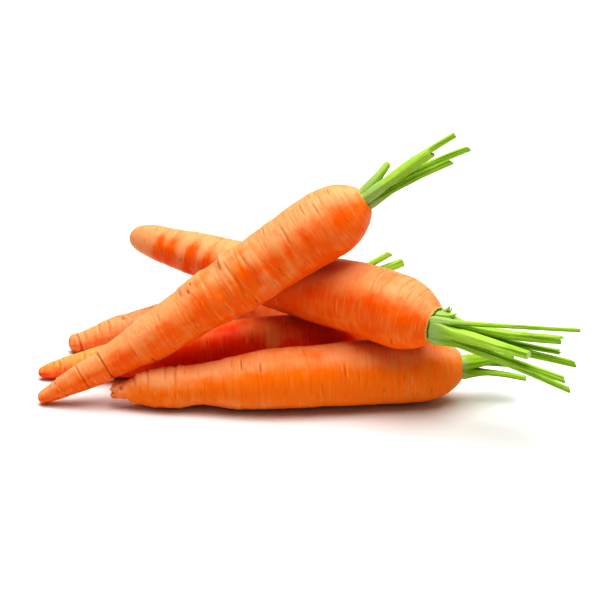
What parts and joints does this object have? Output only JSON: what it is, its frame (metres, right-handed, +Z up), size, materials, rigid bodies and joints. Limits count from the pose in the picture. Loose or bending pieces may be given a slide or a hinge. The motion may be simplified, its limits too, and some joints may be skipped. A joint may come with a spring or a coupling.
{
  "type": "heap of carrots",
  "caption": "Heap of whole fresh carrots with trimmed green leaf stalks, lying across each other on a level surface; a resting food prop.",
  "frame": {"origin": "middle of the underside of the heap's box, on the level surface that the lowest carrots lie on", "axes": "+X from the tips of the lower carrots towards their crowns, +Y towards the rear carrot, +Z up"},
  "size_m": [0.2686, 0.1782, 0.1378],
  "materials": {
    "carrot_root": "smooth moist orange skin with fine cross rings",
    "leaf_stalk": "ribbed fresh green stalk, paler towards its foot"
  },
  "bodies": {
    "root": {"front_carrot_root": "carrot_root", "front_stalk_fat": "leaf_stalk", "front_stalk_middle": "leaf_stalk", "front_stalk_low": "leaf_stalk", "back_carrot_root": "carrot_root", "back_stalk_thick": "leaf_stalk", "back_stalk_right": "leaf_stalk", "back_stalk_low": "leaf_stalk", "rear_carrot_root": "carrot_root", "rear_stalk_high": "leaf_stalk", "rear_stalk_fat": "leaf_stalk", "rear_stalk_short": "leaf_stalk", "middle_carrot_root": "carrot_root", "middle_stalk_thin": "leaf_stalk", "middle_stalk_ragged": "leaf_stalk", "middle_stalk_sheath": "leaf_stalk", "middle_stalk_forked": "leaf_stalk", "middle_stalk_low": "leaf_stalk", "middle_stalk_under": "leaf_stalk", "middle_stalk_hind": "leaf_stalk", "middle_stub_front": "leaf_stalk", "middle_stub_hind": "leaf_stalk", "top_carrot_root": "carrot_root", "top_stub_pale": "leaf_stalk", "top_stalk_thick": "leaf_stalk", "top_stalk_long": "leaf_stalk", "top_stalk_low": "leaf_stalk"}
  },
  "joints": []
}
